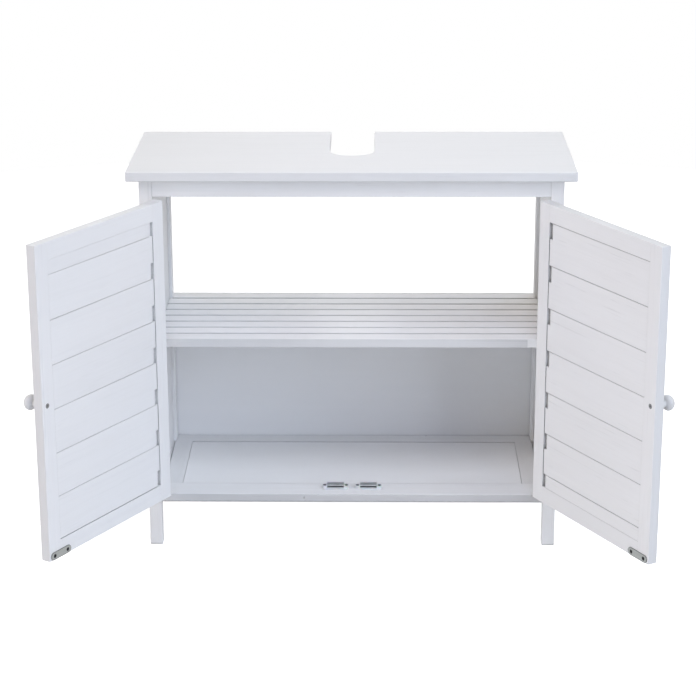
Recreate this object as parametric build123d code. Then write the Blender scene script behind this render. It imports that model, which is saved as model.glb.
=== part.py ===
from build123d import *
import os

# A low bathroom cabinet that stands under a washbasin. Four posts carry a top board with a pipe
# slot. Two louvred doors hang between the front posts. Behind them is an open bay over a
# slatted shelf, and a closed compartment under it.
# Millimetres. X to the right, Y to the back, Z up. The origin is on the floor, on the centre
# line, in the plane of the front posts' faces. The doors stand open, as the cabinet rests.

# Whole cabinet
cabinet_width = 650.0
cabinet_depth = 272.0
cabinet_height = 586.0

# Top board and its pipe slot
top_thickness = 14.0
top_side_overhang = 17.5
top_front_overhang = 17.0
top_corner_radius = 2.5
top_edge_radius = 1.2
slot_width = 67.0
slot_depth = 164.0

# Posts
front_post_width = 19.0
front_post_depth = 19.0
rear_post_width = 21.5
rear_post_depth = 25.0
post_edge_radius = 0.8
foot_chamfer = 0.5

# Apron under the top board
apron_height = 26.5
apron_thickness = 15.0
apron_setback = 1.0

# Side panels, held in grooves of the posts
side_panel_thickness = 12.0
side_panel_inset = 2.5
groove_depth = 5.0
groove_clearance = 0.1

# Back panel of the lower compartment
back_panel_thickness = 3.0
back_panel_side_margin = 4.0

# Bottom frame and its inset panel
bottom_top_height = 83.0
bottom_thickness = 13.0
bottom_front_rail_depth = 44.0
bottom_rear_rail_depth = 29.0
bottom_side_rail_width = 27.4
side_cleat_thickness = 2.4
side_cleat_gap = 1.2
ledge_width = 8.0
ledge_thickness = 6.5
inset_panel_thickness = 6.0
inset_panel_rear_gap = 2.4
inset_panel_side_gap = 0.4
bottom_edge_radius = 0.8

# Slatted shelf
shelf_top_height = 324.5
shelf_thickness = 13.2
shelf_front_setback = 16.5
slat_count = 7
slat_width = 24.8
slat_thickness = 6.0
shelf_bearer_width = 29.7
shelf_middle_bearer_width = 25.0
shelf_end_gap = 0.3
slat_edge_radius = 0.7

# Doors
door_thickness = 15.0
door_setback = 1.0
door_hinge_gap = 2.0
door_meeting_gap = 2.0
door_top_gap = 2.0
door_bottom_gap = 2.0
stile_width = 25.0
rail_height = 26.0
door_edge_radius = 0.8
left_door_open_angle = 120.9
right_door_open_angle = 120.0

# Stub tenons of the door rails
tenon_length = 10.0
tenon_thickness = 5.0
tenon_shoulder = 5.0
tenon_clearance = 0.1

# Louvre boards
full_louvre_count = 6
closing_louvre_height = 20.3
louvre_setback = 0.7
closing_louvre_setback = 0.3
louvre_lap_depth = 4.8
louvre_back_thickness = 2.6
louvre_seam = 0.4
louvre_end_gap = 0.5
louvre_edge_bevel = 0.4
louvre_lap = 4.0
louvre_tongue = 6.0
louvre_hinge_gap = 1.1
louvre_notch_height = 24.0
louvre_notch_width = 7.5
louvre_clearance = 0.15

# Hinges
hinge_height = 38.0
hinge_end_distance = 62.0
hinge_leaf_thickness = 0.8
hinge_leaf_width = 14.0
hinge_axis_forward = 2.7
hinge_knuckle_radius = 2.4
hinge_knuckle_gap = 0.3
hinge_knuckle_relief = 0.5
hinge_pin_radius = 1.1
hinge_pin_head_radius = 1.9
hinge_pin_head_height = 1.0
hinge_running_clearance = 0.05
hinge_screw_spacing = 24.0
hinge_screw_setback = 7.9

# Small countersunk screws for the hinges, catches and strike plates
screw_length = 12.0
screw_shank_radius = 1.5
screw_head_radius = 2.75
screw_head_height = 1.5
screw_recess_width = 0.7
screw_recess_depth = 0.8
screw_clearance = 0.05

# Knobs and their screws
knob_head_radius = 11.3
knob_rim_distance = 14.5
knob_crown_height = 8.8
knob_underside_height = 7.0
knob_neck_radius = 5.1
knob_base_radius = 6.2
knob_base_height = 1.5
knob_base_taper = 1.4
knob_edge_distance = 10.8
left_knob_rise = 0.0
right_knob_rise = 2.0
knob_screw_radius = 2.0
knob_screw_head_radius = 3.6
knob_screw_head_height = 2.2
knob_screw_reach = 10.0

# Strike plates on the doors
strike_length = 43.0
strike_height = 11.5
strike_thickness = 1.2
strike_edge_margin = 0.6
strike_screw_spacing = 28.0

# Magnetic catches on the bottom frame
catch_centre_distance = 25.0
catch_length = 41.0
catch_depth = 13.5
catch_height = 8.0
catch_air_gap = 0.3
catch_plate_proud = 0.6
catch_pocket_length = 25.0
catch_pocket_depth = 11.0
catch_floor = 2.6
catch_plate_thickness = 1.2
catch_magnet_height = 2.8
catch_body_length = 27.2
catch_ear_height = 5.0
catch_screw_spacing = 33.0
catch_pocket_clearance = 0.1

# Dowels and nails
dowel_radius = 2.5
dowel_length = 24.0
dowel_clearance = 0.05
dowel_into_top = 9.0
dowel_into_side_panel = 9.0
dowel_into_post = 9.0
apron_dowel_spacing = 12.0
post_dowel_margin = 5.5
dowel_end_clearance = 0.3
nail_radius = 0.7
nail_head_radius = 1.3
nail_head_height = 0.6
nail_length = 16.0
short_nail_length = 10.0
nail_clearance = 0.05
front_nail_x = -72.0
rear_nail_x = 118.0
back_nail_columns = 5
back_nail_rows = 3

# How far a cutter runs past the faces that it opens
cut_past = 1.0

# Worked out from the sizes above
underside = cabinet_height - top_thickness
half_width = cabinet_width / 2
post_outer_x = half_width - top_side_overhang
front_inner_x = post_outer_x - front_post_width
rear_inner_x = post_outer_x - rear_post_width
top_front_y = -top_front_overhang
back_y = top_front_y + cabinet_depth
rear_post_back_y = back_y - back_panel_thickness
rear_post_front_y = rear_post_back_y - rear_post_depth
side_panel_inner_x = front_inner_x + side_panel_inset
side_panel_outer_x = side_panel_inner_x + side_panel_thickness
bottom_underside = bottom_top_height - bottom_thickness
front_rail_back_y = bottom_front_rail_depth
rear_rail_front_y = rear_post_back_y - bottom_rear_rail_depth
side_cleat_inner_x = side_panel_inner_x - side_cleat_thickness
side_rail_outer_x = side_cleat_inner_x - side_cleat_gap
side_rail_inner_x = side_rail_outer_x - bottom_side_rail_width
shelf_underside = shelf_top_height - shelf_thickness
slat_underside = shelf_top_height - slat_thickness
shelf_half_width = side_panel_inner_x - shelf_end_gap
shelf_bearer_inner_x = shelf_half_width - shelf_bearer_width
shelf_rail_back_y = shelf_front_setback + slat_width
slat_gap = (rear_post_back_y - shelf_rail_back_y - slat_count * slat_width) / slat_count
apron_underside = underside - apron_height
hinge_edge_x = front_inner_x - door_hinge_gap
door_width = hinge_edge_x - door_meeting_gap / 2
door_bottom = bottom_top_height + door_bottom_gap
door_top = apron_underside - door_top_gap
door_height = door_top - door_bottom
door_inner_y = door_setback + door_thickness
opening_bottom = rail_height
opening_top = door_height - rail_height
louvre_pitch = (opening_top - opening_bottom - closing_louvre_height) / full_louvre_count
louvre_lap_y = door_thickness - louvre_lap_depth
louvre_back_y = louvre_lap_y - louvre_back_thickness
pivot_x = front_inner_x - door_hinge_gap / 2
pivot_y = -hinge_axis_forward
hinge_centres = (door_bottom + hinge_end_distance, door_top - hinge_end_distance)
strike_centre_z = door_bottom + strike_edge_margin + strike_height / 2
strike_front_y = door_inner_y + strike_thickness
catch_plate_front_y = strike_front_y + catch_air_gap
catch_front_y = catch_plate_front_y + catch_plate_proud
knob_x = door_meeting_gap / 2 + knob_edge_distance

LEFT = -1
RIGHT = 1
SIDES = {"left": LEFT, "right": RIGHT}
OPEN_TURN = {LEFT: -left_door_open_angle, RIGHT: right_door_open_angle}
KNOB_RISE = {LEFT: left_knob_rise, RIGHT: right_knob_rise}
SMALL_SCREW = (screw_shank_radius, screw_head_radius, screw_head_height, screw_length)
KNOB_SCREW = (
    knob_screw_radius,
    knob_screw_head_radius,
    knob_screw_head_height,
    door_thickness + knob_screw_reach,
)

pieces = {}


def block(x0, x1, y0, y1, z0, z1):
    """A box given by two values on each axis, in either order."""
    centre = Pos((x0 + x1) / 2, (y0 + y1) / 2, (z0 + z1) / 2)
    return centre * Box(abs(x1 - x0), abs(y1 - y0), abs(z1 - z0))


def rod_z(x, y, z0, z1, radius):
    """A round bar along Z."""
    return Pos(x, y, (z0 + z1) / 2) * Cylinder(radius, abs(z1 - z0))


def edges_near(shape, axis, **place):
    """The straight edges along one axis whose middle lies at the given x, y or z values."""
    chosen = []
    for edge in shape.edges().filter_by(axis):
        middle = edge.center()
        at = {"x": middle.X, "y": middle.Y, "z": middle.Z}
        if all(any(abs(at[k] - value) < 0.01 for value in place[k]) for k in place):
            chosen.append(edge)
    return chosen


def groove_cutter(side, y0, y1):
    """What a post loses to hold a side panel."""
    return block(
        side * (side_panel_inner_x - groove_clearance),
        side * (side_panel_outer_x + groove_clearance),
        y0,
        y1,
        bottom_underside - groove_clearance,
        underside,
    )


def make_top_board():
    """A slab with a round-ended slot for the pipes, open to the back."""
    board = block(-half_width, half_width, top_front_y, back_y, underside, cabinet_height)
    slot_centre_y = back_y - slot_depth + slot_width / 2
    board -= block(-slot_width / 2, slot_width / 2, slot_centre_y, back_y, underside, cabinet_height)
    board -= rod_z(0, slot_centre_y, underside, cabinet_height, slot_width / 2)
    corner_x = (-half_width, -slot_width / 2, slot_width / 2, half_width)
    corners = edges_near(board, Axis.Z, x=corner_x, y=(top_front_y, back_y))
    board = fillet(corners, top_corner_radius)
    levels = board.faces().sort_by(Axis.Z)
    return fillet(levels[0].edges() + levels[-1].edges(), top_edge_radius)


def make_posts():
    for name, side in SIDES.items():
        front = block(side * front_inner_x, side * post_outer_x, 0, front_post_depth, 0, underside)
        front = fillet(front.edges().filter_by(Axis.Z), post_edge_radius)
        front = chamfer(front.faces().sort_by(Axis.Z)[0].edges(), foot_chamfer)
        groove_y = front_post_depth - groove_depth - groove_clearance
        front -= groove_cutter(side, groove_y, front_post_depth + groove_clearance)
        pieces[f"front_{name}_post"] = front
        rear = block(
            side * rear_inner_x, side * post_outer_x, rear_post_front_y, rear_post_back_y, 0, underside
        )
        rear = fillet(rear.edges().filter_by(Axis.Z), post_edge_radius)
        rear = chamfer(rear.faces().sort_by(Axis.Z)[0].edges(), foot_chamfer)
        groove_y = rear_post_front_y + groove_depth + groove_clearance
        rear -= groove_cutter(side, rear_post_front_y - groove_clearance, groove_y)
        pieces[f"rear_{name}_post"] = rear


def make_apron():
    back = apron_setback + apron_thickness
    return block(-front_inner_x, front_inner_x, apron_setback, back, apron_underside, underside)


def make_side_panel(side):
    return block(
        side * side_panel_inner_x,
        side * side_panel_outer_x,
        front_post_depth - groove_depth,
        rear_post_front_y + groove_depth,
        bottom_underside,
        underside,
    )


def make_back_panel():
    edge = post_outer_x - back_panel_side_margin
    return block(-edge, edge, rear_post_back_y, back_y, bottom_underside, shelf_top_height)


def make_bottom_frame():
    """Four rails with a ledge all round, and the thin panel that lies on it.

    A cleat on each side panel fills what the side rails leave open.
    """
    ledge_top = bottom_underside + ledge_thickness
    front = block(-front_inner_x, front_inner_x, 0, front_rail_back_y, bottom_underside, bottom_top_height)
    front = fillet(
        edges_near(front, Axis.X, y=[0], z=[bottom_underside, bottom_top_height]), bottom_edge_radius
    )
    front += block(
        -side_rail_inner_x,
        side_rail_inner_x,
        front_rail_back_y,
        front_rail_back_y + ledge_width,
        bottom_underside,
        ledge_top,
    )
    pieces["bottom_front_rail"] = front
    rear = block(
        -rear_inner_x, rear_inner_x, rear_rail_front_y, rear_post_back_y, bottom_underside, bottom_top_height
    )
    rear += block(
        -side_rail_inner_x,
        side_rail_inner_x,
        rear_rail_front_y - ledge_width,
        rear_rail_front_y,
        bottom_underside,
        ledge_top,
    )
    for name, side in SIDES.items():
        levels = (bottom_underside, bottom_top_height)
        corner_x = (side * rear_inner_x, side * side_rail_outer_x)
        rear += block(*corner_x, rear_rail_front_y, rear_post_front_y, *levels)
        rail = block(
            side * side_rail_inner_x, side * side_rail_outer_x, front_rail_back_y, rear_rail_front_y, *levels
        )
        rail += block(
            side * (side_rail_inner_x - ledge_width),
            side * side_rail_inner_x,
            front_rail_back_y + ledge_width,
            rear_rail_front_y - ledge_width,
            bottom_underside,
            ledge_top,
        )
        cleat_x = (side * side_cleat_inner_x, side * side_panel_inner_x)
        rail += block(*cleat_x, front_post_depth, rear_post_front_y, *levels)
        pieces[f"bottom_{name}_rail"] = rail
    pieces["bottom_rear_rail"] = rear
    edge = side_rail_inner_x - inset_panel_side_gap
    pieces["bottom_inset_panel"] = block(
        -edge,
        edge,
        front_rail_back_y,
        rear_rail_front_y - inset_panel_rear_gap,
        ledge_top,
        ledge_top + inset_panel_thickness,
    )


def clear_of_posts(shape):
    """Cut away what would run into a post."""
    for side in SIDES.values():
        shape -= block(side * front_inner_x, side * post_outer_x, 0, front_post_depth, 0, underside)
        shape -= block(
            side * rear_inner_x, side * post_outer_x, rear_post_front_y, rear_post_back_y, 0, underside
        )
    return shape


def make_shelf():
    """A front rail and two side bearers carry the slats, and a third bearer props their middle."""
    front = block(
        -shelf_bearer_inner_x,
        shelf_bearer_inner_x,
        shelf_front_setback,
        shelf_rail_back_y,
        shelf_underside,
        shelf_top_height,
    )
    pieces["shelf_front_rail"] = fillet(edges_near(front, Axis.X, z=[shelf_top_height]), slat_edge_radius)
    for name, side in SIDES.items():
        ends = (side * shelf_bearer_inner_x, side * shelf_half_width)
        bearer = block(*ends, shelf_front_setback, rear_post_back_y, shelf_underside, slat_underside)
        bearer += block(*ends, shelf_front_setback, shelf_rail_back_y, slat_underside, shelf_top_height)
        pieces[f"shelf_{name}_bearer"] = clear_of_posts(bearer)
    pieces["shelf_middle_bearer"] = block(
        -shelf_middle_bearer_width / 2,
        shelf_middle_bearer_width / 2,
        shelf_rail_back_y,
        rear_post_back_y,
        shelf_underside,
        slat_underside,
    )
    slats = []
    for index in range(slat_count):
        y0 = shelf_rail_back_y + slat_gap + index * (slat_width + slat_gap)
        slat = block(
            -shelf_half_width, shelf_half_width, y0, y0 + slat_width, slat_underside, shelf_top_height
        )
        slat = fillet(edges_near(slat, Axis.X, z=[shelf_top_height]), slat_edge_radius)
        slats.append(clear_of_posts(slat))
    pieces["shelf_slats"] = Compound(children=slats)


def louvre_places():
    """Bottom, top and setback of each louvre's face, from the door's top to its bottom."""
    top = opening_top
    places = [(top - closing_louvre_height + louvre_seam / 2, top, closing_louvre_setback)]
    top -= closing_louvre_height
    for _ in range(full_louvre_count):
        places.append((top - louvre_pitch + louvre_seam / 2, top - louvre_seam / 2, louvre_setback))
        top -= louvre_pitch
    places[-1] = (opening_bottom + louvre_end_gap, *places[-1][1:])
    return places


def make_louvre(place, is_first, is_last):
    """A face board on a thinner back board, which is let into both stiles.

    The back board sits lower, so it closes the seam behind the next louvre. Beside the hinge
    stile the face board stops short, and its lower corner is notched.
    """
    z0, z1, setback = place
    left = stile_width - louvre_tongue
    right = door_width - left
    face_left = stile_width + louvre_hinge_gap
    face_right = door_width - stile_width - louvre_clearance
    face_y = door_thickness - setback
    board = block(face_left, face_right, louvre_lap_y, face_y, z0, z1)
    seams = [z0] if is_first else [z0, z1]
    board = chamfer(edges_near(board, Axis.X, y=[face_y], z=seams), louvre_edge_bevel)
    notch_right = stile_width + louvre_notch_width
    notch_top = min(z0 + louvre_notch_height, z1)
    board -= block(face_left, notch_right, louvre_lap_y, face_y, z0, notch_top)
    back_bottom = opening_bottom if is_last else z0 - louvre_lap
    back_top = opening_top if is_first else z1 - louvre_lap
    return board + block(left, right, louvre_back_y, louvre_lap_y, back_bottom, back_top)


def louvre_slot(u0, u1):
    """The groove in a stile's inner edge that takes the ends of all the louvres."""
    front = louvre_lap_y + louvre_clearance
    return block(u0, u1, louvre_back_y - louvre_clearance, front, opening_bottom, opening_top)


def make_door_woodwork():
    """One door leaf: x from its hinge edge, y from its outer face, z from its bottom."""
    wood = {}
    thickness_edges = [0, door_thickness]
    tenon_y = (door_thickness - tenon_thickness) / 2
    tenon_y_far = tenon_y + tenon_thickness
    rails = {"bottom_rail": 0, "top_rail": opening_top}
    for name, u0 in (("hinge_stile", 0), ("free_stile", door_width - stile_width)):
        outer_u = 0 if name == "hinge_stile" else door_width
        inner_u = stile_width if name == "hinge_stile" else door_width - stile_width
        inward = 1 if name == "hinge_stile" else -1
        stile = block(u0, u0 + stile_width, 0, door_thickness, 0, door_height)
        rounded = edges_near(stile, Axis.Z, x=[outer_u])
        rounded += edges_near(stile, Axis.X, y=thickness_edges, z=[0, door_height])
        rounded += edges_near(stile, Axis.Y, x=[outer_u], z=[0, door_height])
        stile = fillet(rounded, door_edge_radius)
        groove_u = inner_u - inward * (louvre_tongue + louvre_clearance)
        stile -= louvre_slot(groove_u, inner_u)
        for z0 in rails.values():
            stile -= block(
                inner_u - inward * (tenon_length + tenon_clearance),
                inner_u,
                tenon_y - tenon_clearance,
                tenon_y_far + tenon_clearance,
                z0 + tenon_shoulder - tenon_clearance,
                z0 + rail_height - tenon_shoulder + tenon_clearance,
            )
        wood[name] = stile
    for name, z0 in rails.items():
        outer_z = 0 if name == "bottom_rail" else door_height
        rail = block(stile_width, door_width - stile_width, 0, door_thickness, z0, z0 + rail_height)
        rail = fillet(edges_near(rail, Axis.X, y=thickness_edges, z=[outer_z]), door_edge_radius)
        rail += block(
            stile_width - tenon_length,
            door_width - stile_width + tenon_length,
            tenon_y,
            tenon_y_far,
            z0 + tenon_shoulder,
            z0 + rail_height - tenon_shoulder,
        )
        wood[name] = rail
    for index, place in enumerate(louvre_places()):
        ends = (index == 0, index == full_louvre_count)
        wood[f"louvre_{index + 1}"] = make_louvre(place, *ends)
    return wood


def make_screw(kind=SMALL_SCREW, clearance=0.0):
    """A countersunk screw along Z, its head's top at z = 0 and its point downwards."""
    shank_radius, head_radius, head_height, length = kind
    head = Cone(shank_radius + clearance, head_radius + clearance, head_height)
    shank = Cylinder(shank_radius + clearance, length + 2 * clearance)
    screw = Pos(0, 0, -head_height / 2) * head + Pos(0, 0, -length / 2) * shank
    if clearance:
        return screw + Pos(0, 0, clearance) * Cylinder(head_radius + clearance, 2 * clearance)
    for turn in (0, 90):
        screw -= Rot(0, 0, turn) * Box(head_radius, screw_recess_width, 2 * screw_recess_depth)
    return screw


def hinge_knuckle_spans(centre_z):
    """The lower, middle and upper thirds of a hinge, with a gap between them."""
    third = (hinge_height - 2 * hinge_knuckle_gap) / 3
    bottom = centre_z - hinge_height / 2
    starts = [bottom + k * (third + hinge_knuckle_gap) for k in range(3)]
    return [(start, start + third) for start in starts]


def make_hinge_leaf(side, centre_z, on_door):
    """Half a butt hinge: a plate, and the knuckles that it rolls round the pin."""
    spans = hinge_knuckle_spans(centre_z)
    own = [spans[1]] if on_door else [spans[0], spans[2]]
    other = [spans[0], spans[2]] if on_door else [spans[1]]
    face_x = hinge_edge_x if on_door else front_inner_x
    inward = 1 if on_door else -1
    plate_x = (side * face_x, side * (face_x + inward * hinge_leaf_thickness))
    bottom = centre_z - hinge_height / 2
    top = centre_z + hinge_height / 2
    leaf = block(*plate_x, pivot_y, hinge_leaf_width, bottom, top)
    relief = hinge_knuckle_radius + hinge_knuckle_relief
    for z0, z1 in other:
        leaf -= block(
            side * (pivot_x - relief),
            side * (pivot_x + relief),
            pivot_y - relief,
            pivot_y + relief,
            z0 - hinge_knuckle_gap,
            z1 + hinge_knuckle_gap,
        )
    for z0, z1 in own:
        leaf += rod_z(side * pivot_x, pivot_y, z0, z1, hinge_knuckle_radius)
        leaf -= rod_z(side * pivot_x, pivot_y, z0, z1, hinge_pin_radius + hinge_running_clearance)
    return leaf


def hinge_screw_places(side, on_door):
    """Where the hinge screws' heads sit, and the way in which they point."""
    face_x = hinge_edge_x + hinge_leaf_thickness if on_door else front_inner_x - hinge_leaf_thickness
    into = -side if on_door else side
    for centre_z in hinge_centres:
        for offset in (-hinge_screw_spacing / 2, hinge_screw_spacing / 2):
            yield Pos(side * face_x, hinge_screw_setback, centre_z + offset) * Rot(0, -90 * into, 0)


def make_hinge_pin(side, centre_z):
    top = centre_z + hinge_height / 2
    pin = rod_z(side * pivot_x, pivot_y, centre_z - hinge_height / 2, top, hinge_pin_radius)
    return pin + rod_z(side * pivot_x, pivot_y, top, top + hinge_pin_head_height, hinge_pin_head_radius)


def stadium(length, width, height):
    """A plate with round ends, its middle at the origin and its underside at z = 0."""
    return extrude(SlotOverall(length, width), height)


def strike_screw_places(side):
    for offset in (-strike_screw_spacing / 2, strike_screw_spacing / 2):
        yield Pos(side * catch_centre_distance + offset, strike_front_y, strike_centre_z) * Rot(-90, 0, 0)


def make_strike_plate(side):
    place = Pos(side * catch_centre_distance, strike_front_y, strike_centre_z) * Rot(90, 0, 0)
    plate = place * stadium(strike_length, strike_height, strike_thickness)
    for screw_place in strike_screw_places(side):
        plate -= screw_place * make_screw(clearance=screw_clearance)
    return plate


def knob_screw_place(side):
    """The middle of the knob's screw head, flush with the door's inner face."""
    knob_z = (door_bottom + door_top) / 2 + KNOB_RISE[side]
    return Pos(side * knob_x, door_inner_y, knob_z) * Rot(-90, 0, 0)


def make_knob(side):
    """Turned from one piece: a foot against the door, a neck and a round head."""
    top = knob_rim_distance + knob_crown_height
    bottom = knob_rim_distance - knob_underside_height
    centre = (0, knob_rim_distance)
    outline = [
        EllipticalCenterArc(centre, knob_head_radius, knob_underside_height, 0, arc_size=-90),
        EllipticalCenterArc(centre, knob_head_radius, knob_crown_height, 0, arc_size=90),
        Line((0, top), (0, bottom)),
    ]
    taper_middle = knob_base_height + knob_base_taper / 2
    knob = Rot(90, 0, 0) * revolve(make_face(outline), Axis.Y)
    knob += Pos(0, 0, knob_rim_distance / 2) * Cylinder(knob_neck_radius, knob_rim_distance)
    knob += Pos(0, 0, taper_middle) * Cone(knob_base_radius, knob_neck_radius, knob_base_taper)
    knob += Pos(0, 0, knob_base_height / 2) * Cylinder(knob_base_radius, knob_base_height)
    place = knob_screw_place(side)
    knob = place * Pos(0, 0, -door_thickness) * Rot(180, 0, 0) * knob
    return knob - place * make_screw(KNOB_SCREW, screw_clearance)


def catch_screw_places(side):
    for offset in (-catch_screw_spacing / 2, catch_screw_spacing / 2):
        x = side * catch_centre_distance + offset
        yield Pos(x, catch_front_y + catch_depth / 2, bottom_top_height + catch_ear_height)


def make_catch(side):
    """Housing, magnet and two pole plates of one catch, on top of the bottom front rail."""
    x = side * catch_centre_distance
    middle_y = catch_front_y + catch_depth / 2
    housing = Pos(x, middle_y, bottom_top_height) * stadium(catch_length, catch_depth, catch_ear_height)
    housing += block(
        x - catch_body_length / 2,
        x + catch_body_length / 2,
        catch_front_y,
        catch_front_y + catch_depth,
        bottom_top_height,
        bottom_top_height + catch_height,
    )
    floor_z = bottom_top_height + catch_floor
    half_pocket = catch_pocket_length / 2
    pocket_back_y = catch_plate_front_y + catch_pocket_depth
    housing -= block(
        x - half_pocket - catch_pocket_clearance,
        x + half_pocket + catch_pocket_clearance,
        catch_front_y - cut_past,
        pocket_back_y + catch_pocket_clearance,
        floor_z,
        bottom_top_height + catch_height + cut_past,
    )
    for place in catch_screw_places(side):
        housing -= place * make_screw(clearance=screw_clearance)
    lower_top = floor_z + catch_plate_thickness
    magnet_top = lower_top + catch_magnet_height
    plates = [
        block(x - half_pocket, x + half_pocket, catch_plate_front_y, pocket_back_y, floor_z, lower_top),
        block(
            x - half_pocket,
            x + half_pocket,
            catch_plate_front_y,
            pocket_back_y,
            magnet_top,
            magnet_top + catch_plate_thickness,
        ),
    ]
    magnet = block(x - half_pocket, x + half_pocket, catch_front_y, pocket_back_y, lower_top, magnet_top)
    return housing, magnet, plates


def open_door(side, shape):
    """Turn what hangs on a door from its closed place to its open one."""
    there = Pos(side * pivot_x, pivot_y, 0)
    back = Pos(-side * pivot_x, -pivot_y, 0)
    return there * Rot(0, 0, OPEN_TURN[side]) * back * shape


def make_door(name, side, woodwork):
    """The right leaf is the left one turned half round in its own plane."""
    if side == LEFT:
        place = Pos(-hinge_edge_x, door_setback, door_bottom)
    else:
        place = Pos(hinge_edge_x, door_setback, door_top) * Rot(0, 180, 0)
    door = {key: place * shape for key, shape in woodwork.items()}
    for screw_place in hinge_screw_places(side, on_door=True):
        door["hinge_stile"] -= screw_place * make_screw(clearance=screw_clearance)
    lower_rail = "bottom_rail" if side == LEFT else "top_rail"
    for screw_place in strike_screw_places(side):
        cutter = screw_place * make_screw(clearance=screw_clearance)
        door[lower_rail] -= cutter
        door["free_stile"] -= cutter
    door["free_stile"] -= knob_screw_place(side) * make_screw(KNOB_SCREW, screw_clearance)
    if side == RIGHT:
        door["top_rail"], door["bottom_rail"] = door["bottom_rail"], door["top_rail"]
        names = [f"louvre_{k + 1}" for k in range(full_louvre_count + 1)]
        for key, shape in zip(names, [door[k] for k in reversed(names)]):
            door[key] = shape
    door["knob"] = make_knob(side)
    door["knob_screw"] = knob_screw_place(side) * make_screw(KNOB_SCREW)
    door["strike_plate"] = make_strike_plate(side)
    leaves = []
    for centre_z in hinge_centres:
        leaf = make_hinge_leaf(side, centre_z, on_door=True)
        for screw_place in hinge_screw_places(side, on_door=True):
            leaf -= screw_place * make_screw(clearance=screw_clearance)
        leaves.append(leaf)
    door["hinge_leaves"] = Compound(children=leaves)
    screws = [place * make_screw() for place in hinge_screw_places(side, on_door=True)]
    screws += [place * make_screw() for place in strike_screw_places(side)]
    door["screws"] = Compound(children=screws)
    for key, shape in door.items():
        pieces[f"{name}_door_{key}"] = open_door(side, shape)


def fit_hardware_on_carcass():
    """Hinge leaves and pins on the posts, catches on the bottom rail, and their screws."""
    leaves = []
    pins = []
    screws = []
    magnets = []
    plates = []
    for name, side in SIDES.items():
        places = list(hinge_screw_places(side, on_door=False))
        cutters = [place * make_screw(clearance=screw_clearance) for place in places]
        for centre_z in hinge_centres:
            leaf = make_hinge_leaf(side, centre_z, on_door=False)
            for cutter in cutters:
                leaf -= cutter
            leaves.append(leaf)
            pins.append(make_hinge_pin(side, centre_z))
        for cutter in cutters:
            pieces[f"front_{name}_post"] -= cutter
        screws += [place * make_screw() for place in places]
        housing, magnet, pair = make_catch(side)
        pieces[f"{name}_catch_housing"] = housing
        magnets.append(magnet)
        plates += pair
        for place in catch_screw_places(side):
            pieces["bottom_front_rail"] -= place * make_screw(clearance=screw_clearance)
            screws.append(place * make_screw())
    pieces["hinge_leaves_on_posts"] = Compound(children=leaves)
    pieces["hinge_pins"] = Compound(children=pins)
    pieces["catch_magnets"] = Compound(children=magnets)
    pieces["catch_pole_plates"] = Compound(children=plates)
    pieces["carcass_screws"] = Compound(children=screws)


def fit_dowels():
    """Wooden dowels across the butt joints. Each is listed with the two pieces that it joins."""
    half = dowel_length / 2
    top_dowel_x = post_outer_x - post_dowel_margin
    apron_dowel_x = front_inner_x + dowel_into_post - half
    apron_middle_z = apron_underside + apron_height / 2
    rear_post_x = (rear_inner_x + post_outer_x) / 2
    front_post_y = front_post_depth / 2
    rear_post_y = (rear_post_front_y + rear_post_back_y) / 2
    bottom_z = bottom_underside + bottom_thickness / 2
    bearer_z = (shelf_underside + slat_underside) / 2
    shelf_rail_z = (shelf_underside + shelf_top_height) / 2
    side_rail_x = (side_rail_inner_x + side_rail_outer_x) / 2
    panel_joint_x = side_panel_inner_x + dowel_into_side_panel - half
    joints = []
    for name, side in SIDES.items():
        front_post = f"front_{name}_post"
        rear_post = f"rear_{name}_post"
        panel = f"{name}_side_panel"
        bearer = f"shelf_{name}_bearer"
        side_rail = f"bottom_{name}_rail"
        top_z = underside + dowel_into_top - half
        joints += [
            ("z", side * top_dowel_x, front_post_y, top_z, ("top_board", front_post)),
            ("z", side * rear_post_x, rear_post_y, top_z, ("top_board", rear_post)),
            ("x", side * front_inner_x, front_post_y, bottom_z, ("bottom_front_rail", front_post)),
            ("x", side * rear_inner_x, rear_post_y, bottom_z, ("bottom_rear_rail", rear_post)),
            ("y", side * side_rail_x, front_rail_back_y, bottom_z, ("bottom_front_rail", side_rail)),
            ("y", side * side_rail_x, rear_rail_front_y, bottom_z, ("bottom_rear_rail", side_rail)),
            ("x", side * rear_inner_x, rear_post_y, bearer_z, (bearer, rear_post)),
            ("x", side * panel_joint_x, shelf_rail_back_y - 2 * dowel_radius, bearer_z, (bearer, panel)),
            (
                "x",
                side * shelf_bearer_inner_x,
                shelf_front_setback + 2 * dowel_radius,
                shelf_rail_z,
                (bearer, "shelf_front_rail"),
            ),
        ]
        for z in (apron_middle_z - apron_dowel_spacing / 2, apron_middle_z + apron_dowel_spacing / 2):
            joints.append(("x", side * apron_dowel_x, front_post_y, z, ("front_apron", front_post)))
    turns = {"x": Rot(0, 90, 0), "y": Rot(90, 0, 0), "z": Rot(0, 0, 0)}
    dowels = []
    for axis, x, y, z, joined in joints:
        place = Pos(x, y, z) * turns[axis]
        dowels.append(place * Cylinder(dowel_radius, dowel_length))
        hole = Cylinder(dowel_radius + dowel_clearance, dowel_length + 2 * dowel_end_clearance)
        for piece in joined:
            pieces[piece] -= place * hole
    pieces["frame_dowels"] = Compound(children=dowels)


def make_nail(length, clearance=0.0):
    """A nail along Z, the top of its head at z = 0 and its point downwards."""
    shank = Cylinder(nail_radius + clearance, length + 2 * clearance)
    head = Cylinder(nail_head_radius + clearance, nail_head_height)
    return Pos(0, 0, -length / 2) * shank + Pos(0, 0, -nail_head_height / 2) * head


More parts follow.
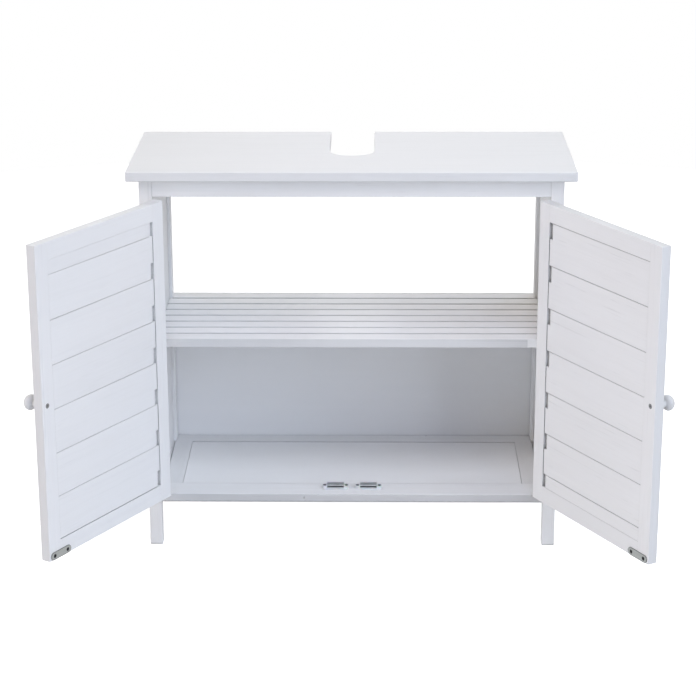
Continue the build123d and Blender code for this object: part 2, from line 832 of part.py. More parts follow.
def fit_nails():
    """Nails through the back panel, and the two that pin the bottom frame."""
    lower_z = bottom_underside + bottom_thickness / 2
    upper_z = (shelf_underside + slat_underside) / 2
    post_x = (rear_inner_x + post_outer_x - back_panel_side_margin) / 2
    column_gap = 2 * rear_inner_x / back_nail_columns
    row_gap = (upper_z - lower_z) / (back_nail_rows + 1)
    spots = []
    for column in range(back_nail_columns):
        x = -rear_inner_x + (column + 0.5) * column_gap
        spots.append((Pos(x, back_y, lower_z) * Rot(-90, 0, 0), nail_length, "bottom_rear_rail"))
    for row in range(back_nail_rows):
        for name, side in SIDES.items():
            place = Pos(side * post_x, back_y, lower_z + (row + 1) * row_gap) * Rot(-90, 0, 0)
            spots.append((place, nail_length, f"rear_{name}_post"))
    for place, _, _ in spots:
        pieces["back_panel"] -= place * make_nail(nail_length, nail_clearance)
    spots.append((Pos(front_nail_x, 0, lower_z) * Rot(90, 0, 0), nail_length, "bottom_front_rail"))
    rear_nail_y = rear_post_back_y - 2 * nail_head_radius
    spots.append((Pos(rear_nail_x, rear_nail_y, bottom_top_height), short_nail_length, "bottom_rear_rail"))
    for place, length, piece in spots:
        pieces[piece] -= place * make_nail(length, nail_clearance)
    pieces["panel_nails"] = Compound(children=[place * make_nail(length) for place, length, _ in spots])


def main():
    pieces["top_board"] = make_top_board()
    make_posts()
    pieces["front_apron"] = make_apron()
    for name, side in SIDES.items():
        pieces[f"{name}_side_panel"] = make_side_panel(side)
    pieces["back_panel"] = make_back_panel()
    make_bottom_frame()
    make_shelf()
    fit_dowels()
    fit_nails()
    fit_hardware_on_carcass()
    woodwork = make_door_woodwork()
    for name, side in SIDES.items():
        make_door(name, side, woodwork)
    os.makedirs("parts", exist_ok=True)
    for name, shape in pieces.items():
        export_step(shape, f"parts/{name}.step")
    print(len(pieces), "pieces")


main()
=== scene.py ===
import math

import bpy
from mathutils import Matrix, Vector

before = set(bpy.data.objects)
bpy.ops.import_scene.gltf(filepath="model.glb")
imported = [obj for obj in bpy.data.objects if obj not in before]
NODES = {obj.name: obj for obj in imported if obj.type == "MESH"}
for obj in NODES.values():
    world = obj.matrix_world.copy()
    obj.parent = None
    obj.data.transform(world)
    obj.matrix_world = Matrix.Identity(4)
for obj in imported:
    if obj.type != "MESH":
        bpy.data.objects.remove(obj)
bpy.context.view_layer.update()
SCENE = bpy.context.scene

# The photograph's camera, found from the corners of the cabinet

PHOTO_SIDE = 696
FOCAL_PIXELS = 2073.15
CENTRE_SHIFT = (-7.70, -17.95)
SENSOR_WIDTH = 36.0
CLIP_START = 0.05
CLIP_END = 60.0
CAMERA_PLACE = (0.03484, -2.90913, 1.28082)
PITCH_DOWN = math.radians(17.85)
YAW = math.radians(-1.01)
ROLL = math.radians(-0.22)


def make_camera():
    data = bpy.data.cameras.new("photo_camera")
    data.sensor_width = SENSOR_WIDTH
    data.lens = FOCAL_PIXELS * SENSOR_WIDTH / PHOTO_SIDE
    data.shift_x = -CENTRE_SHIFT[0] / PHOTO_SIDE
    data.shift_y = CENTRE_SHIFT[1] / PHOTO_SIDE
    data.clip_start = CLIP_START
    data.clip_end = CLIP_END
    ahead = Vector((
        math.sin(YAW) * math.cos(PITCH_DOWN),
        math.cos(YAW) * math.cos(PITCH_DOWN),
        -math.sin(PITCH_DOWN),
    ))
    level = Vector((math.cos(YAW), -math.sin(YAW), 0.0))
    over = level.cross(ahead)
    right = math.cos(ROLL) * level + math.sin(ROLL) * over
    up = math.cos(ROLL) * over - math.sin(ROLL) * level
    turn = Matrix((right, up, -ahead)).transposed().to_4x4()
    camera = bpy.data.objects.new("photo_camera", data)
    camera.matrix_world = Matrix.Translation(CAMERA_PLACE) @ turn
    SCENE.collection.objects.link(camera)
    SCENE.camera = camera


# Short calls for building shader graphs


class Graph:
    """A node tree with short calls for adding and joining nodes."""

    def __init__(self, tree):
        self.tree = tree
        tree.nodes.clear()

    def add(self, kind, inputs=None, **settings):
        node = self.tree.nodes.new(kind)
        for name, value in settings.items():
            setattr(node, name, value)
        for name, value in (inputs or {}).items():
            if isinstance(value, bpy.types.NodeSocket):
                self.tree.links.new(value, node.inputs[name])
            else:
                node.inputs[name].default_value = value
        return node

    def maths(self, operation, a, b=0.0, c=0.0, clamp=False):
        node = self.add("ShaderNodeMath", {0: a, 1: b, 2: c}, operation=operation, use_clamp=clamp)
        return node.outputs[0]

    def times(self, a, b):
        return self.maths("MULTIPLY", a, b)

    def plus_share(self, value, share, base):
        """A share of a value on top of a base."""
        return self.maths("MULTIPLY_ADD", value, share, base)

    def around(self, value, amount, base):
        """A noise value swung about its middle by the given amount, on top of a base."""
        return self.plus_share(self.maths("SUBTRACT", value, 0.5), amount, base)

    def vectors(self, operation, a, b):
        node = self.add("ShaderNodeVectorMath", {0: a, 1: b}, operation=operation)
        return node.outputs["Vector"]

    def dot(self, a, b):
        node = self.add("ShaderNodeVectorMath", {0: a, 1: b}, operation="DOT_PRODUCT")
        return node.outputs["Value"]

    def noise(self, vector, scale, detail=2.0, roughness=0.5, distortion=0.0):
        node = self.add(
            "ShaderNodeTexNoise",
            {"Vector": vector, "Scale": scale, "Detail": detail,
             "Roughness": roughness, "Distortion": distortion},
        )
        return node.outputs["Fac"]

    def stretched(self, vector, stretch, detail=2.0, roughness=0.5, distortion=0.0):
        return self.noise(self.vectors("MULTIPLY", vector, stretch), 1.0, detail, roughness, distortion)

    def between(self, value, low, high, to_low=0.0, to_high=1.0):
        """A smooth step from one value to another while the input goes from low to high."""
        node = self.add(
            "ShaderNodeMapRange",
            {"Value": value, "From Min": low, "From Max": high, "To Min": to_low, "To Max": to_high},
            interpolation_type="SMOOTHSTEP",
        )
        return node.outputs["Result"]

    def blend(self, factor, a, b):
        return self.add("ShaderNodeMix", {0: factor, 6: a, 7: b}, data_type="RGBA").outputs[2]

    def shaded(self, colour, tone):
        """A colour made lighter or darker by a value near 1."""
        grey = self.add("ShaderNodeCombineColor", {0: tone, 1: tone, 2: tone}).outputs[0]
        node = self.add(
            "ShaderNodeMix", {0: 1.0, 6: tuple(colour) + (1.0,), 7: grey},
            data_type="RGBA", blend_type="MULTIPLY",
        )
        return node.outputs[2]

    def bump(self, height, strength, distance, normal):
        inputs = {"Height": height, "Strength": strength, "Distance": distance, "Normal": normal}
        return self.add("ShaderNodeBump", inputs).outputs["Normal"]

    def place(self):
        return self.add("ShaderNodeTexCoord").outputs["Object"]

    def finish(self, shader):
        out = self.add("ShaderNodeOutputMaterial")
        self.tree.links.new(shader.outputs[0], out.inputs["Surface"])


def material_graph(name):
    material = bpy.data.materials.new(name)
    material.use_nodes = True
    return material, Graph(material.node_tree)


# What all finishes share: grain, rounded edges, painted shade in corners, faces that look one way

PIECE_OFFSETS = (7.0, 3.0, 5.0)
BEVEL_SAMPLES = 4
CREASE_SAMPLES = 3

# Where each mask starts and where it is full: cosine of the edge's turn, openness, cosine of the look
EDGE_RANGE = (0.995, 0.86)
CREASE_RANGE = (0.8, 0.3)
FACING_RANGE = (0.75, 0.95)


def grain_vector(g, turn):
    """The piece's own coordinates turned so that the grain runs along X, each piece somewhere else."""
    turned = g.add(
        "ShaderNodeVectorRotate", {"Vector": g.place(), "Rotation": turn}, rotation_type="EULER_XYZ"
    ).outputs["Vector"]
    pick = g.add("ShaderNodeObjectInfo").outputs["Random"]
    offsets = {axis: g.times(pick, offset) for axis, offset in zip("XYZ", PIECE_OFFSETS)}
    away = g.add("ShaderNodeCombineXYZ", offsets).outputs["Vector"]
    return g.vectors("ADD", turned, away), pick


def rounded(g, radius):
    """The normal of the piece with its edges rounded off."""
    return g.add("ShaderNodeBevel", {"Radius": radius}, samples=BEVEL_SAMPLES).outputs["Normal"]


def edge_mask(g, soft):
    """1 along the piece's rounded edges, 0 on its flats."""
    own = g.add("ShaderNodeNewGeometry").outputs["Normal"]
    return g.between(g.dot(soft, own), *EDGE_RANGE)


def crease_mask(g, reach):
    """1 deep in joints and corners, 0 in the open."""
    node = g.add("ShaderNodeAmbientOcclusion", {"Distance": reach}, samples=CREASE_SAMPLES)
    return g.between(node.outputs["AO"], *CREASE_RANGE)


def facing(g, direction, normal=None):
    """1 where the piece looks in one direction, 0 elsewhere, by its own normal or a given one."""
    own = normal or g.add("ShaderNodeTexCoord").outputs["Normal"]
    return g.between(g.dot(own, direction), *FACING_RANGE)


# White paint on wood

WHITE = (0.80, 0.80, 0.80)
# The whites below are the same paint as WHITE: those of the slats, the doors and the brighter pieces are
# lighter as painted light, that of the knobs darker as painted shade
LIT_SLAT_PAINT = (0.81, 0.81, 0.81)
LIT_DOOR_PAINT = (0.84, 0.84, 0.84)
LIT_PIECE_PAINT = (0.86, 0.86, 0.86)
SHADED_KNOB_PAINT = (0.66, 0.66, 0.66)
THIN_PAINT = (0.70, 0.66, 0.60, 1.0)
PAINT_IOR = 1.45
PAINT_ROUGHNESS = 0.55
ARRIS = 0.0012

# Painted shade in corners: how far from the corner it reaches, and the share that it darkens
CREASE = (0.005, 0.25)
SLIGHT_CREASE = (0.004, 0.05)
DEEP_CREASE = (0.008, 0.6)

# Noises that follow the grain: stretch along and across it, detail, roughness, distortion
RING_WARP = ((1.1, 22.0, 22.0), 3.0, 0.55, 0.5)
FIBRE = ((7.0, 330.0, 330.0), 3.0, 0.6)
SHORT_PORES = ((16.0, 520.0, 520.0), 1.0)
LONG_PORES = ((2.6, 230.0, 230.0), 1.0, 0.4)

# Noises of the paint: scale, detail, roughness
CLOUD = (5.0, 3.0, 0.5)
COAT = (420.0, 2.0, 0.5)
PEEL = (1300.0, 1.0, 0.5)
RUB = (60.0, 3.0, 0.7)

# Radians that the rings' wave runs through while their noise goes from 0 to 1
RING_WAVES = 46.0

# Where each pattern starts and stops, and its values there when they aren't 0 and 1
RING_RANGE = (0.25, 1.0)
SHORT_PORE_RANGE = (0.68, 0.76)
LONG_PORE_RANGE = (0.735, 0.79)
PORES_IN_RINGS = (0.0, 0.9, 0.55, 1.0)
RUB_RANGE = (0.45, 0.72, 0.4, 1.0)
# Heights above the floor over which the painted shade at the foot of a piece grows from none to full
FLOOR_SHADE_HEIGHTS = (0.0026, 0.0008)

# What each pattern does to the paint's colour, its roughness and its relief
SHORT_PORE_SHARE = 0.6
RING_SHADE = 0.010
FIBRE_SHADE = 0.035
PORE_SHADE = 0.10
CLOUD_SHADE = 0.03
PIECE_SHADE = 0.014
WEAR_SHARE = 0.08
COAT_ROUGHNESS = 0.16
PORE_ROUGHNESS = 0.12
WEAR_ROUGHNESS = -0.06
RING_HEIGHT = -0.35
FIBRE_HEIGHT = 0.5
PORE_HEIGHT = -1.3
COAT_HEIGHT = 0.35
PEEL_HEIGHT = 0.12
RELIEF_STRENGTH = 0.25
WOOD_RELIEF = 0.0004


def painted_wood(name, turn, figure=1.0, pores=1.0, roughness=PAINT_ROUGHNESS, colour=WHITE,
                 shaded_faces=(), shaded_arrises=(), arris=ARRIS, crease=CREASE, rim_shade=0.0, floor_shade=0.0):
    """White lacquer over open-grained wood: the growth rings and pores print through the paint.

    figure and pores make the rings and the pores weaker or stronger. shaded_faces and shaded_arrises
    are directions and shares: a face or an arris that looks that way is darker by that share, as
    painted shade. crease is the reach and the share of the painted shade in corners, rim_shade the
    share of painted shade along the piece's edges, floor_shade that of painted shade at the floor.
    """
    material, g = material_graph(name)
    place = g.place()
    along, pick = grain_vector(g, turn)
    warp = g.stretched(along, *RING_WARP)
    rings = g.between(g.maths("SINE", g.times(warp, RING_WAVES)), *RING_RANGE)
    fibre = g.stretched(along, *FIBRE)
    dashes = g.between(g.stretched(along, *SHORT_PORES), *SHORT_PORE_RANGE)
    long_lines = g.between(g.stretched(along, *LONG_PORES), *LONG_PORE_RANGE)
    lines = g.maths("MAXIMUM", g.times(dashes, SHORT_PORE_SHARE), long_lines)
    lines = g.times(lines, g.between(rings, *PORES_IN_RINGS))
    cloud = g.noise(place, *CLOUD)
    coat = g.noise(place, *COAT)
    peel = g.noise(place, *PEEL)
    rub = g.between(g.noise(place, *RUB), *RUB_RANGE)
    soft = rounded(g, arris)
    edge = edge_mask(g, soft)
    worn = g.times(edge, rub)

    shade = g.times(rings, RING_SHADE * figure)
    shade = g.around(fibre, FIBRE_SHADE * figure, shade)
    shade = g.plus_share(lines, PORE_SHADE * pores, shade)
    shade = g.around(cloud, CLOUD_SHADE, shade)
    shade = g.around(pick, PIECE_SHADE, shade)
    # Painted shade in joints and corners
    reach, corner_shade = crease
    shade = g.plus_share(crease_mask(g, reach), corner_shade, shade)
    # Painted shade along the piece's edges, where its seams lie
    if rim_shade:
        shade = g.plus_share(edge, rim_shade, shade)
    # Painted shade at the floor, darker in the lowest few millimetres of the piece
    if floor_shade:
        height = g.add("ShaderNodeSeparateXYZ", {0: place}).outputs["Z"]
        shade = g.plus_share(g.between(height, *FLOOR_SHADE_HEIGHTS), floor_shade, shade)
    # Painted shade on faces, and on rounded arrises, that look in the given directions
    for direction, share in shaded_faces:
        shade = g.plus_share(facing(g, direction), share, shade)
    for direction, share in shaded_arrises:
        shade = g.plus_share(facing(g, direction, soft), share, shade)
    paint = g.shaded(colour, g.maths("SUBTRACT", 1.0, shade))
    paint = g.blend(g.times(worn, WEAR_SHARE), paint, THIN_PAINT)

    rough = g.around(coat, COAT_ROUGHNESS, roughness)
    rough = g.plus_share(lines, PORE_ROUGHNESS, rough)
    rough = g.maths("MULTIPLY_ADD", worn, WEAR_ROUGHNESS, rough, clamp=True)

    relief = g.times(rings, RING_HEIGHT * figure)
    relief = g.plus_share(fibre, FIBRE_HEIGHT * figure, relief)
    relief = g.plus_share(lines, PORE_HEIGHT * pores, relief)
    relief = g.plus_share(coat, COAT_HEIGHT, relief)
    relief = g.plus_share(peel, PEEL_HEIGHT, relief)
    g.finish(g.add(
        "ShaderNodeBsdfPrincipled",
        {"Base Color": paint, "Roughness": rough, "IOR": PAINT_IOR,
         "Normal": g.bump(relief, RELIEF_STRENGTH, WOOD_RELIEF, soft)},
    ))
    return material


# The same paint on smooth board

# Numbers of noises stand in the same order here and further down as those for wood
BOARD_CLOUD = (3.2, 4.0, 0.55)
BOARD_STIPPLE = (520.0, 2.0, 0.55)
BOARD_FLECKS = (260.0, 2.0, 0.6)
BOARD_LINES = ((5.0, 90.0, 90.0), 2.0)
BOARD_FLECK_RANGE = (0.70, 0.78)
BOARD_CLOUD_SHADE = 0.04
BOARD_LINE_SHADE = 0.02
BOARD_FLECK_SHADE = 0.025
BOARD_EDGE_SHADE = 0.03
BOARD_STIPPLE_ROUGHNESS = 0.2
BOARD_LINE_HEIGHT = 0.4
BOARD_RELIEF = 0.0003


def painted_board(name, shaded_arrises=(), crease=CREASE):
    """White paint with roller stipple and a slight cloud, but no grain."""
    material, g = material_graph(name)
    place = g.place()
    cloud = g.noise(place, *BOARD_CLOUD)
    stipple = g.noise(place, *BOARD_STIPPLE)
    fleck = g.between(g.noise(place, *BOARD_FLECKS), *BOARD_FLECK_RANGE)
    lines = g.stretched(place, *BOARD_LINES)
    shade = g.around(cloud, BOARD_CLOUD_SHADE, 0.0)
    shade = g.around(lines, BOARD_LINE_SHADE, shade)
    shade = g.plus_share(fleck, BOARD_FLECK_SHADE, shade)
    soft = rounded(g, ARRIS)
    shade = g.plus_share(edge_mask(g, soft), BOARD_EDGE_SHADE, shade)
    # Painted shade in corners and on arrises that look in the given directions
    reach, corner_shade = crease
    shade = g.plus_share(crease_mask(g, reach), corner_shade, shade)
    for direction, share in shaded_arrises:
        shade = g.plus_share(facing(g, direction, soft), share, shade)
    relief = g.plus_share(lines, BOARD_LINE_HEIGHT, stipple)
    g.finish(g.add(
        "ShaderNodeBsdfPrincipled",
        {"Base Color": g.shaded(LIT_PIECE_PAINT, g.maths("SUBTRACT", 1.0, shade)),
         "Roughness": g.around(stipple, BOARD_STIPPLE_ROUGHNESS, PAINT_ROUGHNESS),
         "Normal": g.bump(relief, RELIEF_STRENGTH, BOARD_RELIEF, soft), "IOR": PAINT_IOR},
    ))
    return material


# Plated steel

DRAWN_LINES = ((60.0, 2600.0, 2600.0), 3.0, 0.6)
BLOTCHES = (210.0, 3.0, 0.6)
SPECKS = (1500.0, 2.0, 0.6)
SPECK_RANGE = (0.62, 0.74)
BLOTCH_TONE = 0.5
DRAWN_TONE = -0.35
SPECK_TONE = -0.25
RIM_SHARE = 0.8
BLOTCH_ROUGHNESS = 0.35
BLOTCH_HEIGHT = 0.6
METAL_RIM_WIDTH = 0.0005
METAL_RELIEF = 0.0001


def metal(name, colour, roughness, turn, brushed=0.5, spots=0.5, rim_light=1.5, rim_width=METAL_RIM_WIDTH):
    """Drawn lines, dull blotches and edges rim_light times as bright as the rest: painted highlight above
    1, painted shade below.
    """
    material, g = material_graph(name)
    place = g.place()
    along, _ = grain_vector(g, turn)
    drawn = g.stretched(along, *DRAWN_LINES)
    blotch = g.noise(place, *BLOTCHES)
    speck = g.between(g.noise(place, *SPECKS), *SPECK_RANGE)
    tone = g.around(blotch, BLOTCH_TONE * spots, 1.0)
    tone = g.around(drawn, DRAWN_TONE * brushed, tone)
    tone = g.plus_share(speck, SPECK_TONE * spots, tone)
    # The edges get a painted highlight where they are brighter than the rest, painted shade where they are
    # darker
    rim_colour = tuple(min(1.0, rim_light * c) for c in colour) + (1.0,)
    soft = rounded(g, rim_width)
    tint = g.blend(g.times(edge_mask(g, soft), RIM_SHARE), g.shaded(colour, tone), rim_colour)
    relief = g.plus_share(blotch, BLOTCH_HEIGHT, g.times(drawn, brushed))
    g.finish(g.add(
        "ShaderNodeBsdfPrincipled",
        {"Base Color": tint, "Metallic": 1.0, "Roughness": g.around(blotch, BLOTCH_ROUGHNESS, roughness),
         "Normal": g.bump(relief, RELIEF_STRENGTH, METAL_RELIEF, soft)},
    ))
    return material


# Moulded plastic, ferrite, dark steel with painted shade and bare wood

MOTTLE_DETAIL = (3.0, 0.6)
MATTER_CLOUD_SHARE = 0.12
MATTER_EDGE_WIDTH = 0.0005
# Share by which the edges are lighter, a painted highlight
MATTER_EDGE_HIGHLIGHT = 0.05
MOTTLE_ROUGHNESS = 0.2
MATTER_RELIEF_STRENGTH = 0.2
MATTER_RELIEF = 0.0001
SUBSURFACE_REACH = 0.002


def plain_matter(name, colour, roughness, variation, scale, subsurface=0.0, specular=0.5):
    """A fine mottle in colour and relief, and a painted highlight along the edges."""
    material, g = material_graph(name)
    place = g.place()
    mottle = g.noise(place, scale, *MOTTLE_DETAIL)
    cloud = g.noise(place, scale * MATTER_CLOUD_SHARE)
    tone = g.around(mottle, variation, 1.0)
    tone = g.around(cloud, variation, tone)
    soft = rounded(g, MATTER_EDGE_WIDTH)
    # Painted highlight along the edges
    tone = g.plus_share(edge_mask(g, soft), MATTER_EDGE_HIGHLIGHT, tone)
    g.finish(g.add(
        "ShaderNodeBsdfPrincipled",
        {"Base Color": g.shaded(colour, tone), "Roughness": g.around(mottle, MOTTLE_ROUGHNESS, roughness),
         "Normal": g.bump(mottle, MATTER_RELIEF_STRENGTH, MATTER_RELIEF, soft),
         "Subsurface Weight": subsurface, "Subsurface Scale": SUBSURFACE_REACH,
         "Specular IOR Level": specular},
    ))
    return material


# Which finish each CAD node has, and the way its grain runs

ALONG_X = (0.0, 0.0, 0.0)
ALONG_Y = (0.0, 0.0, math.radians(90))
ALONG_Z = (0.0, math.radians(90), 0.0)
OPEN_ANGLE = {"left": math.radians(120.9), "right": math.radians(-120.0)}
INWARD = {"left": 1.0, "right": -1.0}
FORWARD = (0.0, -1.0, 0.0)
UPWARD = (0.0, 0.0, 1.0)
LOWER_FRONT = (0.0, -0.71, -0.71)
UPPER_BACK = (0.0, 0.71, 0.71)
LOUVRE_COUNT = 7

# The screws' near-black with almost no sheen is partly their dark finish, partly painted shade of the
# recesses they sit in
DARK_STEEL_IN_SHADE = (0.022, 0.022, 0.024)
NYLON = (0.76, 0.77, 0.78)
HINGE_STEEL = (0.55, 0.55, 0.54)
POLE_STEEL = (0.42, 0.44, 0.45)
NAIL_STEEL = (0.42, 0.42, 0.42)
STRIKE_ZINC = (0.27, 0.28, 0.27)
KNOB_SCREW_ZINC = (0.30, 0.30, 0.30)
FERRITE = (0.045, 0.045, 0.05)
BEECH = (0.62, 0.42, 0.24)

# Shares of painted shade by which single faces, arrises and seams are darker
TOP_BOARD_SHADE = 0.16
TOP_BOARD_ARRIS_SHADE = 0.25
POST_SHADE = {"left": 0.06, "right": 0.0}
POST_SIDE_SHADE = 0.08
FOOT_FLOOR_SHADE = 0.3
APRON_SHADE = 0.03
APRON_ARRIS_SHADE = 0.3
SLAT_FRONT_SHADE = 0.25
SHELF_FRONT_SHADE = 0.19
SHELF_ARRIS_SHADE = 0.12
BOTTOM_FRONT_SHADE = 0.34
BOTTOM_ARRIS_SHADE = 0.8
INSET_ARRIS_SHADE = 0.5
DOOR_EDGE_SHADE = {"left": 0.20, "right": 0.17}
DOOR_TOP_SHADE = {"left": 0.05, "right": 0.16}
LOUVRE_RIM_SHADE = {"left": 0.0, "right": 0.22}
TOP_LOUVRE_RIM_SHADE = {"left": 0.0, "right": 0.6}

# Painted shade in the corners of single pieces, as reach and share, and the radius of the rounder arris
APRON_CREASE = (0.007, 0.5)
LOUVRE_CREASE = {"left": (0.008, 0.35), "right": DEEP_CREASE}
TOP_LOUVRE_CREASE = {"left": SLIGHT_CREASE, "right": DEEP_CREASE}
BOTTOM_ARRIS = 0.003

# How strongly the rings and the pores show, and how dull the paint is, where it isn't as usual
LOUVRE_PORES = {"left": 0.6, "right": 1.3}
RAIL_FIGURE = 0.8
RAIL_PORES = 0.6
KNOB_FIGURE = 0.5
KNOB_PORES = 0.3
KNOB_ROUGHNESS = 0.42
TOP_BOARD_ROUGHNESS = 0.64


def free_edge_direction(side):
    """The way that a door's free edge faces while the door stands open."""
    angle = OPEN_ANGLE[side]
    return (INWARD[side] * math.cos(angle), -abs(math.sin(angle)), 0.0)


def carcass_finishes():
    wood_y = painted_wood("white_wood_deep", ALONG_Y, crease=SLIGHT_CREASE)
    wood_z = painted_wood("white_wood_upright", ALONG_Z, colour=LIT_PIECE_PAINT, crease=SLIGHT_CREASE)
    # Hinges, pole plates and nail heads have the default painted highlight on their edges
    hinge = metal("hinge_plating", HINGE_STEEL, roughness=0.35, turn=ALONG_Z)
    nylon = plain_matter(
        "catch_nylon", NYLON, roughness=0.42, variation=0.05, scale=260.0, subsurface=0.25
    )
    # Shaded faces, shaded arrises and creases below are painted shade
    finishes = {
        "top_board": painted_wood(
            "top_white", ALONG_X, roughness=TOP_BOARD_ROUGHNESS, shaded_faces=((FORWARD, TOP_BOARD_SHADE),),
            shaded_arrises=((LOWER_FRONT, TOP_BOARD_ARRIS_SHADE),),
        ),
        "front_apron": painted_wood(
            "apron_white", ALONG_X, shaded_faces=((FORWARD, APRON_SHADE),),
            shaded_arrises=((LOWER_FRONT, APRON_ARRIS_SHADE),), crease=APRON_CREASE,
        ),
        "shelf_slats": painted_wood(
            "slat_white", ALONG_X, colour=LIT_SLAT_PAINT, shaded_faces=((FORWARD, SLAT_FRONT_SHADE),)
        ),
        "shelf_left_bearer": painted_wood(
            "left_bearer_white", ALONG_Y, crease=SLIGHT_CREASE, shaded_faces=((FORWARD, SHELF_FRONT_SHADE),)
        ),
        "shelf_front_rail": painted_wood(
            "shelf_rail_white", ALONG_X, shaded_faces=((FORWARD, SHELF_FRONT_SHADE),),
            shaded_arrises=((LOWER_FRONT, SHELF_ARRIS_SHADE),),
        ),
        "bottom_rear_rail": painted_wood("white_wood_long", ALONG_X, colour=LIT_SLAT_PAINT),
        "bottom_front_rail": painted_wood(
            "bottom_rail_white", ALONG_X, colour=LIT_PIECE_PAINT, arris=BOTTOM_ARRIS,
            shaded_faces=((FORWARD, BOTTOM_FRONT_SHADE),), shaded_arrises=((LOWER_FRONT, BOTTOM_ARRIS_SHADE),),
        ),
        "back_panel": painted_board("back_board"),
        "bottom_inset_panel": painted_board(
            "inset_board", shaded_arrises=((UPPER_BACK, INSET_ARRIS_SHADE),), crease=SLIGHT_CREASE
        ),
        "catch_pole_plates": metal("pole_steel", POLE_STEEL, roughness=0.38, turn=ALONG_X),
        "catch_magnets": plain_matter("ferrite", FERRITE, roughness=0.6, variation=0.3, scale=900.0),
        "panel_nails": metal("nail_heads", NAIL_STEEL, roughness=0.5, turn=ALONG_X),
        # Dark screws, near black and almost without sheen as painted shade of their recesses
        "carcass_screws": plain_matter(
            "dark_screws_in_shade", DARK_STEEL_IN_SHADE, roughness=0.5, variation=0.5, scale=900.0, specular=0.05
        ),
        "frame_dowels": plain_matter("dowel_beech", BEECH, roughness=0.7, variation=0.2, scale=500.0),
        "left_catch_housing": nylon,
        "right_catch_housing": nylon,
    }
    for side, inward in INWARD.items():
        # Painted shade on the front and inner faces of the posts and at their feet
        finishes[f"front_{side}_post"] = painted_wood(
            side + "_post_white", ALONG_Z, floor_shade=FOOT_FLOOR_SHADE,
            shaded_faces=((FORWARD, POST_SHADE[side]), ((inward, 0.0, 0.0), POST_SIDE_SHADE)),
        )
    deep = ("bottom_left_rail", "bottom_right_rail", "shelf_middle_bearer", "shelf_right_bearer")
    finishes.update(dict.fromkeys(deep, wood_y))
    upright = ("rear_left_post", "rear_right_post", "left_side_panel", "right_side_panel")
    finishes.update(dict.fromkeys(upright, wood_z))
    hinged = ("hinge_leaves_on_posts", "hinge_pins", "left_door_hinge_leaves", "right_door_hinge_leaves")
    finishes.update(dict.fromkeys(hinged, hinge))
    return finishes


def door_finishes(side, screws):
    """The rails and louvres run along the door, its stiles upright."""
    turn = (0.0, 0.0, OPEN_ANGLE[side])
    # Painted shade on the door's top faces and on its free edge
    top = (UPWARD, DOOR_TOP_SHADE[side])
    free = (free_edge_direction(side), DOOR_EDGE_SHADE[side])
    rail = painted_wood(
        side + "_door_rail_white", turn, figure=RAIL_FIGURE, pores=RAIL_PORES, colour=LIT_DOOR_PAINT,
        shaded_faces=(top,),
    )
    # Painted shade in the louvres' corners and along their edges, deeper on the right door
    louvre = painted_wood(
        side + "_louvre_white", turn, pores=LOUVRE_PORES[side], colour=LIT_DOOR_PAINT,
        crease=LOUVRE_CREASE[side], rim_shade=LOUVRE_RIM_SHADE[side],
    )
    finishes = {
        "hinge_stile": painted_wood(
            side + "_hinge_stile_white", ALONG_Z, colour=LIT_DOOR_PAINT, shaded_faces=(top,),
            crease=LOUVRE_CREASE[side],
        ),
        "free_stile": painted_wood(
            side + "_free_stile_white", ALONG_Z, colour=LIT_DOOR_PAINT, shaded_faces=(top, free),
            crease=SLIGHT_CREASE,
        ),
        "top_rail": rail,
        "bottom_rail": rail,
        # The knob's darker white is painted shade
        "knob": painted_wood(
            side + "_knob_white", ALONG_Z, figure=KNOB_FIGURE, pores=KNOB_PORES,
            roughness=KNOB_ROUGHNESS, colour=SHADED_KNOB_PAINT,
        ),
        # Painted shade on the rims of the knob screws
        "knob_screw": metal(
            side + "_knob_screw_zinc", KNOB_SCREW_ZINC, roughness=0.45, turn=turn, brushed=0.3,
            spots=0.6, rim_light=0.1, rim_width=0.0012,
        ),
        "screws": screws,
        # Painted shade on the rims of the strike plates
        "strike_plate": metal(
            side + "_strike_zinc", STRIKE_ZINC, roughness=0.42, turn=turn, brushed=0.7, spots=0.6,
            rim_light=0.15, rim_width=0.0014,
        ),
    }
    finishes.update({f"louvre_{number}": louvre for number in range(2, LOUVRE_COUNT + 1)})
    # Painted shade in the top louvre's corners and along its edges, deeper on the right door
    finishes["louvre_1"] = painted_wood(
        side + "_top_louvre_white", turn, pores=LOUVRE_PORES[side], colour=LIT_DOOR_PAINT,
        crease=TOP_LOUVRE_CREASE[side], rim_shade=TOP_LOUVRE_RIM_SHADE[side],
    )
    return {f"{side}_door_{name}": finish for name, finish in finishes.items()}


def dress_nodes():
    finishes = carcass_finishes()
    for side in OPEN_ANGLE:
        finishes.update(door_finishes(side, finishes["carcass_screws"]))
    for name, thing in NODES.items():
        materials = thing.data.materials
        materials.clear()
        materials.append(finishes[name])


# Floor, world and lamps

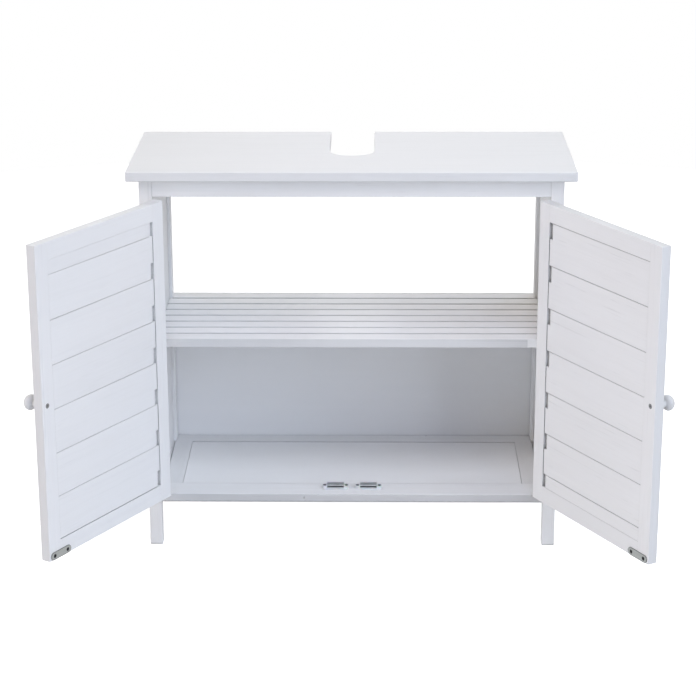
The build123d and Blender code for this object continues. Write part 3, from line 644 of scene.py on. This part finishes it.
FLOOR_RADIUS = 2.6
FLOOR_CORNERS = 96
FLOOR_GLOW = 0.80
FLOOR_CLOUD_SCALE = 1.5
FLOOR_CLOUD_RANGE = (0.3, 0.7, 0.98, 1.0)
PURE_WHITE = (1.0, 1.0, 1.0, 1.0)
BLACK = (0.0, 0.0, 0.0, 1.0)
LAMP_DISTANCE = 3.6
LAMP_SIDE = 1.3
LAMP_TARGET = Vector((0.0, 0.0, 0.3))
LAMPS = {
    # name: (degrees right of the front, degrees above the level, power for red, green and blue)
    "low_left": (-60, 8, (35.9, 35.7, 35.9)),
    "low_front": (0, 8, (3.9, 4.7, 5.8)),
    "low_right": (38, 14, (21.8, 23.8, 27.9)),
    "front_left": (-50, 35, (15.1, 10.7, 8.1)),
    "front": (18, 35, (8.1, 9.2, 13.1)),
    "front_right": (50, 35, (28.6, 30.9, 33.2)),
    "left": (-90, 25, (13.4, 14.0, 17.5)),
    "right": (90, 25, (9.1, 5.1, 1.6)),
    "high_front": (0, 62, (32.7, 34.8, 38.7)),
    "steep_back": (180, 68, (20.0, 20.8, 19.9)),
    "back_left": (-130, 50, (8.5, 7.2, 3.5)),
    "back_right": (130, 50, (11.7, 14.0, 16.3)),
    "low_back": (180, 14, (18.0, 16.8, 18.6)),
}


def make_lamp(name, azimuth, elevation, power):
    data = bpy.data.lights.new(name, "AREA")
    data.shape = "SQUARE"
    data.size = LAMP_SIDE
    data.energy = max(power)
    data.color = tuple(share / data.energy for share in power)
    around = math.radians(azimuth)
    above = math.radians(elevation)
    out = Vector((
        math.cos(above) * math.sin(around), -math.cos(above) * math.cos(around), math.sin(above)
    ))
    lamp = bpy.data.objects.new(name, data)
    facing_in = (-out).to_track_quat("-Z", "Y").to_matrix().to_4x4()
    lamp.matrix_world = Matrix.Translation(LAMP_TARGET + LAMP_DISTANCE * out) @ facing_in
    lamp.visible_camera = False
    SCENE.collection.objects.link(lamp)


def seen_directly(g):
    """1 where the camera, a mirror or glass looks at this surface, 0 where it only lights others."""
    path = g.add("ShaderNodeLightPath").outputs
    seen = g.maths("MAXIMUM", path["Is Camera Ray"], path["Is Glossy Ray"])
    return g.maths("MAXIMUM", seen, path["Is Transmission Ray"])


def make_world():
    """White where it is seen, and no light from it elsewhere."""
    world = bpy.data.worlds.new("studio")
    world.use_nodes = True
    SCENE.world = world
    g = Graph(world.node_tree)
    dark = g.add("ShaderNodeBackground", {"Color": BLACK, "Strength": 1.0})
    white = g.add("ShaderNodeBackground", {"Color": PURE_WHITE, "Strength": 1.0})
    mix = g.add(
        "ShaderNodeMixShader", {0: seen_directly(g), 1: dark.outputs[0], 2: white.outputs[0]}
    )
    out = g.add("ShaderNodeOutputWorld")
    g.tree.links.new(mix.outputs[0], out.inputs["Surface"])


def make_floor():
    """A round floor that glows white where it is seen and still takes the cabinet's shadow."""
    step = 2 * math.pi / FLOOR_CORNERS
    points = [
        (FLOOR_RADIUS * math.cos(i * step), FLOOR_RADIUS * math.sin(i * step), 0.0)
        for i in range(FLOOR_CORNERS)
    ]
    mesh = bpy.data.meshes.new("studio_floor")
    mesh.from_pydata(points, [], [tuple(range(FLOOR_CORNERS))])
    floor = bpy.data.objects.new("studio_floor", mesh)
    SCENE.collection.objects.link(floor)
    material, g = material_graph("studio_floor_white")
    cloud = g.between(g.noise(g.place(), FLOOR_CLOUD_SCALE), *FLOOR_CLOUD_RANGE)
    matt = g.add("ShaderNodeBsdfDiffuse", {"Color": g.shaded(WHITE, cloud)})
    glow = g.add(
        "ShaderNodeEmission",
        {"Color": PURE_WHITE, "Strength": g.times(seen_directly(g), FLOOR_GLOW)},
    )
    g.finish(g.add("ShaderNodeAddShader", {0: matt.outputs[0], 1: glow.outputs[0]}))
    mesh.materials.append(material)


make_camera()
dress_nodes()
make_world()
make_floor()
for lamp_name, lamp in LAMPS.items():
    make_lamp(lamp_name, *lamp)
SCENE.view_settings.view_transform = "Standard"
